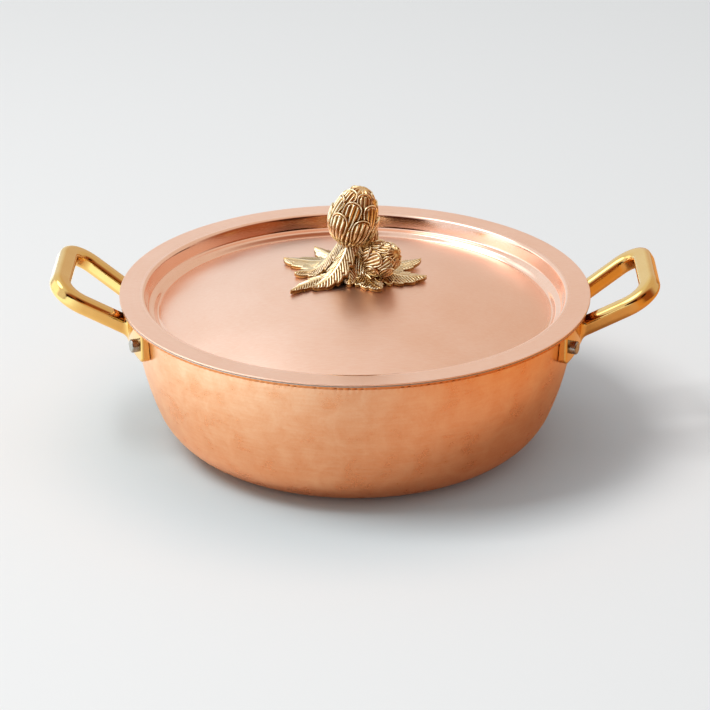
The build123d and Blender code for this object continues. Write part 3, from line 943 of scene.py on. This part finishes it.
def rubbed_share(height, reach):
    """How far each point of a grid of heights stands out from the mean of its neighbours up to a reach
    of rows and columns away, from 0 in the hollows to 1 on the high places."""
    mean = height
    size = 2 * reach + 1
    for axis in (0, 1):
        padded = np.pad(mean, [(reach, reach) if a == axis else (0, 0) for a in (0, 1)], mode="edge")
        total = np.cumsum(np.insert(padded, 0, 0, axis=axis), axis=axis)
        rows = np.arange(height.shape[axis])
        mean = (np.take(total, rows + size, axis) - np.take(total, rows, axis)) / size
    return np.clip(0.5 + (height - mean) / cast_relief, 0, 1)


def leaf_relief(u, v, along, across):
    """Veins, midrib and rim on the back of a leaf, by the shares along and across it."""
    veins = np.cos(2 * math.pi * (along - vein_slant * np.abs(across)) / vein_pitch)
    between = np.clip(np.abs(across) / 1.2 - 0.3, 0, 1) * np.clip((1 - np.abs(v)) * 6, 0, 1)
    rib = rib_height * np.exp(-((across / rib_width) ** 2)) * (1 - 0.6 * u)
    rim = rim_height * np.exp(-(((np.abs(v) - rim_place) / rim_width) ** 2))
    return vein_height * veins * between + rib + rim - edge_fall * v**8


def blade_faces(steps, count):
    """Quads of a closed blade, whose upper grid of points comes before its lower one."""
    i, j = np.meshgrid(np.arange(steps - 1), np.arange(count - 1), indexing="ij")
    a = (i * count + j).ravel()
    top_faces = np.column_stack([a, a + count, a + count + 1, a + 1])
    low_faces = top_faces[:, ::-1] + steps * count
    border = np.concatenate([
        np.arange(count),
        count * np.arange(1, steps) + count - 1,
        count * (steps - 1) + np.arange(count - 2, -1, -1),
        count * np.arange(steps - 2, 0, -1),
    ])
    after = np.roll(border, -1)
    sides = np.column_stack([border, after, after + steps * count, border + steps * count])
    return np.concatenate([top_faces, low_faces, sides])


def leaf_mesh(turn, root, root_height, length, width, teeth, arch, lift, curl, bend, shift):
    """A closed leaf blade and how rubbed its points are. Turn is its heading from +X, root and length
    are distances from its middle, and shift moves that middle along X. Root height is above the lid,
    arch rounds its back, lift raises its tip, curl drops its edges and bend swings the tip sideways."""
    u = np.linspace(0, 1, leaf_steps)[:, None]
    v = np.linspace(-1, 1, 2 * leaf_half_steps + 1)[None, :]
    saw = u * teeth - np.floor(u * teeth)
    body = np.sin(math.pi * np.clip(0.2 + 0.8 * u, 0, 1) ** 1.05) ** 0.7
    spread = width / 2 * body * (1 - tooth_depth * (1 - saw**0.8) * np.clip(4 * u, 0, 1))
    spread = np.maximum(spread, least_half_width)
    along = (length - root) * u
    across = v * spread
    heading = math.radians(turn) + math.radians(bend) * u**1.5
    x = shift + (root + along) * np.cos(heading) - across * np.sin(heading)
    y = (root + along) * np.sin(heading) + across * np.cos(heading)
    fall = np.maximum(1 - u / arch, 0) ** 1.8
    back = root_height * fall + lift * u**3
    droop = curl * (v * v) * (0.35 + 0.65 * fall) * np.minimum(spread / 4, 1.6)
    relief = leaf_relief(u, v, along, across)
    under = above_lid(x, y) + leaf_gap + np.maximum(back - droop, 0)
    top = under + leaf_sheet * (1 - edge_thinning * v * v) + relief
    points = np.concatenate([np.stack([x, y, z], axis=-1).reshape(-1, 3) for z in (top, under)])
    rubbed = rubbed_share(relief, leaf_reach).ravel()
    rubbed = np.concatenate([rubbed, np.full(rubbed.shape, under_rubbed)])
    return points, blade_faces(leaf_steps, 2 * leaf_half_steps + 1), rubbed


# Antique finish on cast brass: the hollows keep a brown oxide, and the high places are rubbed back
# to bright yellow metal, which makes every vein and edge read.
knob_bright = "#FBEBC8"
knob_gold = "#DCB070"
knob_brown = "#80511F"
casting_grain = 1.1
grain_depth = 0.2
patch_width = 6.25
antique_brass, tree, place = new_material("antique_cast_brass")
raised = add_node(tree, "ShaderNodeAttribute", attribute_name="rubbed").outputs["Fac"]
speckle = add_node(
    tree, "ShaderNodeTexNoise", {"Vector": place, "Scale": 1000 / casting_grain, "Detail": 4.0}
)
patches = add_node(
    tree, "ShaderNodeTexNoise", {"Vector": place, "Scale": 1000 / patch_width, "Detail": 3.0}
)
stains = []
for noise, least, most in ((speckle, -0.1, 0.1), (patches, -0.12, 0.12)):
    stains.append(
        add_node(
            tree, "ShaderNodeMapRange",
            {"Value": noise, "From Min": 0.3, "From Max": 0.7, "To Min": least, "To Max": most},
        )
    )
uneven = add_node(tree, "ShaderNodeMath", {0: stains[0], 1: stains[1]}, operation="ADD")
rubbed = add_node(tree, "ShaderNodeMath", {0: raised, 1: uneven}, operation="ADD", use_clamp=True)
patina = add_node(tree, "ShaderNodeValToRGB", {"Fac": rubbed})
patina.color_ramp.elements[0].position = 0.12
patina.color_ramp.elements[0].color = shade(knob_brown)
patina.color_ramp.elements[1].position = 0.85
patina.color_ramp.elements[1].color = shade(knob_bright)
patina.color_ramp.elements.new(0.45).color = shade(knob_gold)
gloss = add_node(tree, "ShaderNodeMapRange", {"Value": rubbed, "To Min": 0.42, "To Max": 0.15})
metal_skin(tree, patina, gloss, speckle, grain_depth, strength=0.25)


def add_casting(name, node, points, faces, rubbed):
    """A piece of the knob, with how far each of its points is rubbed bright."""
    piece = add_mesh(name, points, faces, antique_brass)
    stored = piece.data.attributes.new("rubbed", "FLOAT", "POINT")
    stored.data.foreach_set("value", rubbed.astype(np.float32))
    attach(piece, "lid")
    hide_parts(node)


# Heading, root, root height, length, width, teeth, arch, lift, curl, bend and shift of each leaf
leaves = {
    "leaf_left": (149, 4, 10.5, 49.3, 25, 5, 0.62, 1.2, 2.2, 2, 0),
    "leaf_left_rear": (121, 4, 10.0, 46.8, 17, 5, 0.55, 2.0, 1.4, 1, 0),
    "leaf_left_middle": (178, 4, 10.5, 36.0, 18, 4, 0.7, 0.8, 2.2, 6, 0),
    "leaf_left_front": (212, 6, 5.0, 46.4, 13, 5, 0.5, 0.6, 1.0, 4, 0),
    "leaf_front_left": (242, 1.5, 23.8, 34.0, 15.5, 6, 0.97, 0.6, 3.4, -16, -1.0),
    "leaf_front": (292, 4, 7.5, 31.0, 20, 5, 0.7, 0.2, 1.8, 8, 0),
    "leaf_right_front": (-26, 5, 7.5, 43.0, 25, 7, 0.75, 1.2, 1.8, 18, 0),
    "leaf_right": (17, 5, 8.0, 42.8, 20, 5, 0.6, 3.0, 1.4, 6, 0),
    "leaf_right_rear": (64, 5, 7.0, 38.0, 17, 4, 0.6, 1.5, 1.4, 0, 0),
    "sepal_left": (186, 3, 20.5, 24.0, 14, 4, 1.0, 0.0, 3.0, 0, -5.0),
    "sepal_left_rear": (132, 3, 20.5, 23.0, 13, 4, 1.0, 0.0, 3.0, 0, -5.0),
    "sepal_front": (276, 3, 20.5, 22.0, 13, 4, 1.0, 0.0, 3.0, 0, -5.0),
    "sepal_right": (-48, 3, 19.0, 22.0, 13, 4, 1.0, 0.0, 3.0, 0, -3.0),
    "sepal_rear": (70, 3, 19.5, 22.0, 13, 4, 1.0, 0.0, 3.0, 0, -5.0),
}
for name, sizes in leaves.items():
    add_casting(name, "knob_leaves", *leaf_mesh(*sizes))

# The stem is a ribbed cone that the leaves lie on, and it narrows and leans to the neck of the head.
head_neck = (-4.9, 0.0, 19.5)
head_lean_angle = 15.5
head_lean = math.radians(head_lean_angle)
stem_foot = (-0.5, -0.5)
stem_low_radius = 15.0
stem_high_radius = 5.6
stem_sunk = 1.2
stem_in_head = 2.0
stem_ribs = 20
stem_rib_twist = 3.0
stem_rib_height = 0.6
stem_steps = 264
stem_rows = 60


def with_caps(points, steps, rows):
    """Faces of a tube of rings, and its points with a middle point more at each end to close it."""
    ring, row = np.meshgrid(np.arange(steps), np.arange(rows - 1), indexing="ij")
    start, after = ring * rows + row, (ring + 1) % steps * rows + row
    faces = np.stack([start, after, after + 1, start + 1], axis=-1).reshape(-1, 4)
    ring = np.arange(steps)
    after = (ring + 1) % steps
    grid = points.reshape(steps, rows, 3)
    middles = np.stack([grid[:, 0].mean(axis=0), grid[:, -1].mean(axis=0)])
    low, high = np.full(steps, len(points)), np.full(steps, len(points) + 1)
    first = np.column_stack([after * rows, ring * rows, low, low])
    last = np.column_stack([ring * rows + rows - 1, after * rows + rows - 1, high, high])
    return np.concatenate([points, middles]), np.concatenate([faces, first, last])


t = np.linspace(0, 1, stem_rows)[None, :]
angle = (np.arange(stem_steps) * 2 * math.pi / stem_steps)[:, None]
stem_relief = stem_rib_height * np.cos(stem_ribs * angle + stem_rib_twist * t) * np.clip(6 * t, 0.2, 1)
stem_radius = stem_high_radius + (stem_low_radius - stem_high_radius) * (1 - t) ** 1.9 + stem_relief
middle_x = stem_foot[0] + (head_neck[0] - stem_foot[0]) * t
middle_y = stem_foot[1] + (head_neck[1] - stem_foot[1]) * t
x = middle_x + stem_radius * np.cos(angle) * math.cos(head_lean)
y = middle_y + stem_radius * np.sin(angle)
z = crown_height - stem_sunk + (head_neck[2] + stem_in_head) * t
z = np.maximum(z - stem_radius * np.cos(angle) * math.sin(head_lean) * t, above_lid(x, y) + leaf_gap)
stem_points, stem_faces = with_caps(np.stack([x, y, z], axis=-1).reshape(-1, 3), stem_steps, stem_rows)
stem_rubbed = rubbed_share(stem_relief, leaf_reach).ravel()
stem_rubbed = np.concatenate([stem_rubbed, [0.5, 0.5]])
add_casting("ribbed_stem", "knob_stem", stem_points, stem_faces, stem_rubbed)

# Artichoke head and buds
# Three cast artichokes: a tall head on the neck of the stem, and two buds let into its foot on short
# stalks. Each is an egg-shaped core under rows of ribbed bracts whose round rims stand proud.
artichoke_steps = 420
artichoke_rows = 300
# Foot and tip as shares of the length, how many, the first one's heading and half width in each row
head_rows = [
    (0.10, 0.59, 6, -128.0, 5.8),
    (0.36, 0.82, 6, -104.0, 5.4),
    (0.60, 0.95, 5, -68.0, 4.7),
]
bud_rows = [
    (0.00, 0.52, 5, -60.0, 5.6),
    (0.28, 0.78, 5, -96.0, 5.2),
    (0.55, 0.94, 4, -60.0, 4.6),
]
bract_lift = 1.5
bract_foot_lift_share = 0.12
bract_foot_share = 0.55
bract_crown = 0.5
bract_rim = 0.5
bract_rim_place = 0.42  # in from the edge, like the groove and the start of the ribs
bract_rim_width = 0.34
bract_groove = 0.35
bract_groove_place = 1.15
bract_groove_width = 0.32
bract_ribs_from = 1.1
bract_rib_count = 4
bract_rib_height = 0.38
skirt_ribs = 26
skirt_height = 0.6
skirt_top_share = 0.34
heart_start_share = 0.80
heart_lift = 1.5
heart_ribs = 13
heart_rib_height = 0.55
artichoke_reach = 5


def core_radius(share, radius):
    """Radius of an artichoke under its bracts, by the share of its length above the neck."""
    return radius * np.sqrt(np.sin(math.pi * (0.012 + 0.988 * share) ** 0.72))


def bract_height(across, run, start, end, half_width, scale):
    """Height over the core of a bract between two places along it, and no height outside it."""
    wide = half_width * scale
    up = ramp(run, start, end - start)
    widening = np.sin(0.5 * math.pi * np.clip(up * 1.7, 0, 1))
    taper = wide * (bract_foot_share + (1 - bract_foot_share) * widening)
    to_side = taper - np.abs(across)
    to_tip = wide - np.hypot(across, run - (end - wide))
    edge = np.where(run > end - wide, np.minimum(to_tip, to_side), to_side) / scale
    swell = bract_lift * (bract_foot_lift_share + (1 - bract_foot_lift_share) * up**1.3)
    crown = bract_crown * (1 - (across / wide) ** 2) * up
    rim = bract_rim * np.exp(-(((edge - bract_rim_place) / bract_rim_width) ** 2))
    groove = bract_groove * np.exp(-(((edge - bract_groove_place) / bract_groove_width) ** 2))
    ribs = bract_rib_height * np.cos(math.pi * bract_rib_count * across / np.maximum(taper, 0.3))
    height = swell + crown + (rim - groove) * np.clip(3 * up, 0, 1) + ribs * ramp(edge, bract_ribs_from, 1)
    return np.where((run > start) & (edge > 0), scale * height, -np.inf)


def artichoke_mesh(length, radius, scale, rows):
    """Points of an artichoke along +Z from its neck, and how rubbed they are."""
    share = (1 - (1 - np.linspace(0, 1, artichoke_rows)) ** 1.3)[None, :] * 0.9995
    angle = (np.arange(artichoke_steps) * 2 * math.pi / artichoke_steps)[:, None]
    core = core_radius(share, radius - bract_lift * scale)
    run = run_along(np.column_stack([core[0], share[0] * length]))
    skirt = ramp(share, 0, 0.05) * ramp(share, skirt_top_share, -0.1)
    skirt = skirt * skirt_height * np.cos(skirt_ribs * angle)
    heart = heart_lift + heart_rib_height * np.cos(heart_ribs * angle) * ramp(share, 1, -0.04)
    relief = scale * (skirt + heart * ramp(share, heart_start_share, 0.12))
    for foot, tip, count, first, half_width in rows:
        start, end = np.interp((foot, tip), share[0], run)
        for number in range(count):
            middle = math.radians(first + 360 / count * number)
            across = ((angle - middle + math.pi) % (2 * math.pi) - math.pi) * core
            bract = bract_height(across, run[None, :], start, end, half_width, scale)
            relief = np.maximum(relief, bract)
    lean = np.gradient(core[0]) / np.gradient(share[0] * length)
    slant = 1 / np.hypot(1, lean)[None, :]
    out = np.maximum(core + relief * slant, 0.02)
    z = share * length - relief * slant * np.clip(lean, -2.5, 2.5)[None, :]
    points = np.stack([out * np.cos(angle), out * np.sin(angle), z], axis=-1)
    return points.reshape(-1, 3), rubbed_share(relief, artichoke_reach).ravel()


def leaned(points, tilt, heading, seat):
    """Points tilted from upright towards a heading from +X, and moved to a seat above the crown."""
    a, b = math.radians(tilt), math.radians(heading)
    tip = np.array([[math.cos(a), 0, math.sin(a)], [0, 1, 0], [-math.sin(a), 0, math.cos(a)]])
    swing = np.array([[math.cos(b), -math.sin(b), 0], [math.sin(b), math.cos(b), 0], [0, 0, 1]])
    return points @ tip.T @ swing.T + np.array([seat[0], seat[1], crown_height + seat[2]])


head_seat = (head_neck[0], head_neck[1], head_neck[2] + 0.1)
# Length, radius, scale of the relief, rows, tilt, heading and seat of each
artichokes = {
    "artichoke_head": (34.1, 15.3, 1.0, head_rows, head_lean_angle, 0.0, head_seat),
    "artichoke_bud_front": (23.0, 10.9, 0.8, bud_rows, 62.0, -40.0, (8.6, -6.0, 8.9)),
    "artichoke_bud_rear": (23.0, 10.9, 0.8, bud_rows, 50.0, 90.0, (3.4, 14.0, 8.6)),
}
for node, (length, radius, scale, rows, tilt, heading, seat) in artichokes.items():
    skin_points, rubbed = artichoke_mesh(length, radius, scale, rows)
    skin_points = leaned(skin_points, tilt, heading, seat)
    skin_points, faces = with_caps(skin_points, artichoke_steps, artichoke_rows)
    add_casting(f"cast_{node}", node, skin_points, faces, np.concatenate([rubbed, [0.3, 0.7]]))

# Screw and washer
# A slotted steel screw and a thick steel washer. They are put in from under the lid, and draw the
# knob down on its seat.
for node in ("knob_screw", "knob_washer"):
    coat(node, turned_steel)

seen_low, seen_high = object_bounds()
sizes = {"cad": [list(cad_low), list(cad_high)], "visual": [list(seen_low), list(seen_high)]}
